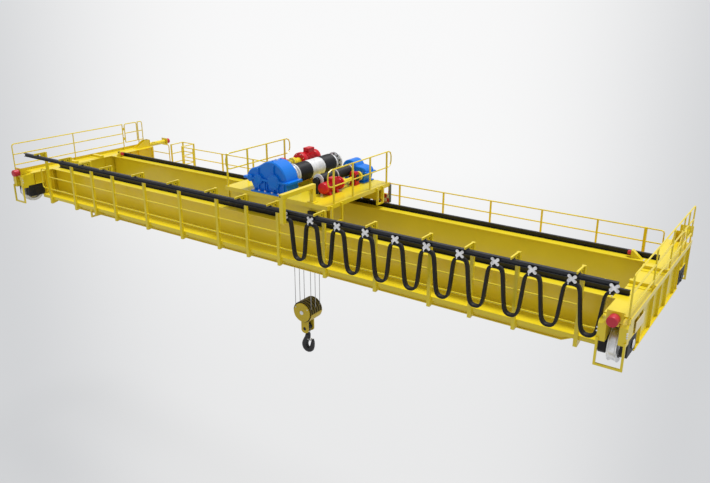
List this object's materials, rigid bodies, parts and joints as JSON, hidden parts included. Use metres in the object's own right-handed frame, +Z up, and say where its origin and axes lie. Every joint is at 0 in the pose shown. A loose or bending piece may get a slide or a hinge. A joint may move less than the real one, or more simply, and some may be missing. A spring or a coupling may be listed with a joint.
{
  "type": "overhead bridge crane",
  "caption": "Double girder overhead bridge crane with a top-running trolley, wire rope hoist, hook block, festoon cable and walkways.",
  "frame": {"origin": "midway between the runway rails and midway between the girders, level with the head of the runway rails", "axes": "+X along the bridge towards the fixed end of the festoon, +Y along the runway away from the festoon side, +Z up"},
  "size_m": [23.36, 7.67, 7.156],
  "materials": {
    "yellow_paint": "gloss enamel",
    "blue_paint": "gloss enamel",
    "red_paint": "gloss enamel",
    "red_rubber": "smooth",
    "black_paint": "satin",
    "dark_steel": "rolled",
    "grey_steel": "satin",
    "striped_paint": "satin, red and white squares",
    "olive_paint": "satin",
    "forged_steel": "forged",
    "bright_steel": "galvanised",
    "wire_rope": "stranded",
    "black_rubber": "matte",
    "machined_steel": "machined"
  },
  "bodies": {
    "bridge": {"girder_near": "yellow_paint", "girder_far": "yellow_paint", "trolley_rails": "dark_steel", "rail_stops": "yellow_paint", "end_carriage_left": "yellow_paint", "end_carriage_right": "yellow_paint", "axle_boxes": "black_paint", "wheel_guards": "yellow_paint", "buffer_arms": "yellow_paint", "buffers": "red_rubber", "bridge_drives": "red_paint", "walkway_near": "yellow_paint", "walkway_far": "yellow_paint", "near_railing": "yellow_paint", "festoon_arms": "yellow_paint", "festoon_beam": "grey_steel", "carriage_railing_left": "yellow_paint", "carriage_railing_right": "yellow_paint", "far_railing": "yellow_paint", "access_landing": "yellow_paint", "cable_carrier_11": "bright_steel", "festoon_cable": "black_rubber"},
    "trolley": {"trolley_frame": "yellow_paint", "head_sheaves": "olive_paint", "hoist_gearbox": "blue_paint", "drum_pedestals": "black_paint", "hoist_motor": "red_paint", "couplings": "yellow_paint", "aux_gearbox": "blue_paint", "aux_motor": "red_paint", "travel_drive": "red_paint", "trolley_railings": "yellow_paint", "tow_arm": "yellow_paint", "end_plate": "striped_paint", "hoist_ropes": "wire_rope"},
    "gate": {"gate": "yellow_paint"},
    "hoist_drum": {"hoist_drum": "black_paint"},
    "aux_drum": {"aux_drum": "black_paint"},
    "hook_block": {"block_plates": "olive_paint", "block_sheaves": "olive_paint", "hook_trunnion": "olive_paint"},
    "hook": {"hook": "forged_steel"},
    "hook_latch": {"hook_latch": "bright_steel"},
    "trolley_wheels_left": {"trolley_wheels_left": "machined_steel"},
    "trolley_wheels_right": {"trolley_wheels_right": "machined_steel"},
    "wheel_near_left": {"wheel_near_left": "machined_steel"},
    "wheel_near_right": {"wheel_near_right": "machined_steel"},
    "wheel_far_left": {"wheel_far_left": "machined_steel"},
    "wheel_far_right": {"wheel_far_right": "machined_steel"},
    "cable_carrier_1": {"cable_carrier_1": "bright_steel"},
    "cable_carrier_2": {"cable_carrier_2": "bright_steel"},
    "cable_carrier_3": {"cable_carrier_3": "bright_steel"},
    "cable_carrier_4": {"cable_carrier_4": "bright_steel"},
    "cable_carrier_5": {"cable_carrier_5": "bright_steel"},
    "cable_carrier_6": {"cable_carrier_6": "bright_steel"},
    "cable_carrier_7": {"cable_carrier_7": "bright_steel"},
    "cable_carrier_8": {"cable_carrier_8": "bright_steel"},
    "cable_carrier_9": {"cable_carrier_9": "bright_steel"},
    "cable_carrier_10": {"cable_carrier_10": "bright_steel"}
  },
  "joints": [
    {"name": "trolley_travel", "type": "slide", "parent": "bridge", "child": "trolley", "axis": [1, 0, 0], "range_m": [-8.4, 7], "deforming": ["festoon_cable"]},
    {"name": "gate_swing", "type": "hinge", "parent": "bridge", "child": "gate", "pos_m": [-11.53, 2.255, 1.82], "axis": [0, 0, 1], "range_deg": [-95, 0]},
    {"name": "wheel_near_left_roll", "type": "hinge", "parent": "bridge", "child": "wheel_near_left", "pos_m": [-11.25, -2.5, 0.4], "axis": [1, 0, 0], "continuous": true},
    {"name": "wheel_far_left_roll", "type": "hinge", "parent": "bridge", "child": "wheel_far_left", "pos_m": [-11.25, 2.5, 0.4], "axis": [1, 0, 0], "continuous": true},
    {"name": "wheel_near_right_roll", "type": "hinge", "parent": "bridge", "child": "wheel_near_right", "pos_m": [11.25, -2.5, 0.4], "axis": [1, 0, 0], "continuous": true},
    {"name": "wheel_far_right_roll", "type": "hinge", "parent": "bridge", "child": "wheel_far_right", "pos_m": [11.25, 2.5, 0.4], "axis": [1, 0, 0], "continuous": true},
    {"name": "trolley_wheels_left_roll", "type": "hinge", "parent": "trolley", "child": "trolley_wheels_left", "pos_m": [-0.865, 0, 1.45], "axis": [0, 1, 0], "continuous": true},
    {"name": "trolley_wheels_right_roll", "type": "hinge", "parent": "trolley", "child": "trolley_wheels_right", "pos_m": [1.925, 0, 1.45], "axis": [0, 1, 0], "continuous": true},
    {"name": "hoist_travel", "type": "slide", "parent": "trolley", "child": "hook_block", "axis": [0, 0, 1], "range_m": [-5, 2.6], "deforming": ["hoist_ropes"]},
    {"name": "hook_swivel", "type": "hinge", "parent": "hook_block", "child": "hook", "pos_m": [0.41, 0, -3.29], "axis": [0, 0, 1], "continuous": true},
    {"name": "latch_swing", "type": "hinge", "parent": "hook", "child": "hook_latch", "pos_m": [0.455, 0, -3.718], "axis": [0, 1, 0], "range_deg": [0, 40], "stiffness_Nm_per_rad": 20},
    {"name": "hoist_drum_turn", "type": "hinge", "parent": "trolley", "child": "hoist_drum", "pos_m": [0.31, 0, 2.25], "axis": [0, 1, 0], "range_deg": [-4800, 2500]},
    {"name": "aux_drum_turn", "type": "hinge", "parent": "trolley", "child": "aux_drum", "pos_m": [1.45, 0, 2.25], "axis": [0, 1, 0], "continuous": true},
    {"name": "carrier_10_slide", "type": "slide", "parent": "bridge", "child": "cable_carrier_10", "axis": [1, 0, 0], "range_m": [-0.84, 0.7]},
    {"name": "carrier_9_slide", "type": "slide", "parent": "cable_carrier_10", "child": "cable_carrier_9", "axis": [1, 0, 0], "range_m": [-0.84, 0.7]},
    {"name": "carrier_8_slide", "type": "slide", "parent": "cable_carrier_9", "child": "cable_carrier_8", "axis": [1, 0, 0], "range_m": [-0.84, 0.7]},
    {"name": "carrier_7_slide", "type": "slide", "parent": "cable_carrier_8", "child": "cable_carrier_7", "axis": [1, 0, 0], "range_m": [-0.84, 0.7]},
    {"name": "carrier_6_slide", "type": "slide", "parent": "cable_carrier_7", "child": "cable_carrier_6", "axis": [1, 0, 0], "range_m": [-0.84, 0.7]},
    {"name": "carrier_5_slide", "type": "slide", "parent": "cable_carrier_6", "child": "cable_carrier_5", "axis": [1, 0, 0], "range_m": [-0.84, 0.7]},
    {"name": "carrier_4_slide", "type": "slide", "parent": "cable_carrier_5", "child": "cable_carrier_4", "axis": [1, 0, 0], "range_m": [-0.84, 0.7]},
    {"name": "carrier_3_slide", "type": "slide", "parent": "cable_carrier_4", "child": "cable_carrier_3", "axis": [1, 0, 0], "range_m": [-0.84, 0.7]},
    {"name": "carrier_2_slide", "type": "slide", "parent": "cable_carrier_3", "child": "cable_carrier_2", "axis": [1, 0, 0], "range_m": [-0.84, 0.7]},
    {"name": "carrier_1_slide", "type": "slide", "parent": "cable_carrier_2", "child": "cable_carrier_1", "axis": [1, 0, 0], "range_m": [-0.84, 0.7]}
  ],
  "couplings": [
    {"joint": "carrier_10_slide", "follows": "trolley_travel", "ratio": 0.1},
    {"joint": "carrier_9_slide", "follows": "trolley_travel", "ratio": 0.1},
    {"joint": "carrier_8_slide", "follows": "trolley_travel", "ratio": 0.1},
    {"joint": "carrier_7_slide", "follows": "trolley_travel", "ratio": 0.1},
    {"joint": "carrier_6_slide", "follows": "trolley_travel", "ratio": 0.1},
    {"joint": "carrier_5_slide", "follows": "trolley_travel", "ratio": 0.1},
    {"joint": "carrier_4_slide", "follows": "trolley_travel", "ratio": 0.1},
    {"joint": "carrier_3_slide", "follows": "trolley_travel", "ratio": 0.1},
    {"joint": "carrier_2_slide", "follows": "trolley_travel", "ratio": 0.1},
    {"joint": "carrier_1_slide", "follows": "trolley_travel", "ratio": 0.1},
    {"joint": "hoist_drum_turn", "follows": "hoist_travel", "rad_per_m": 16.393}
  ]
}
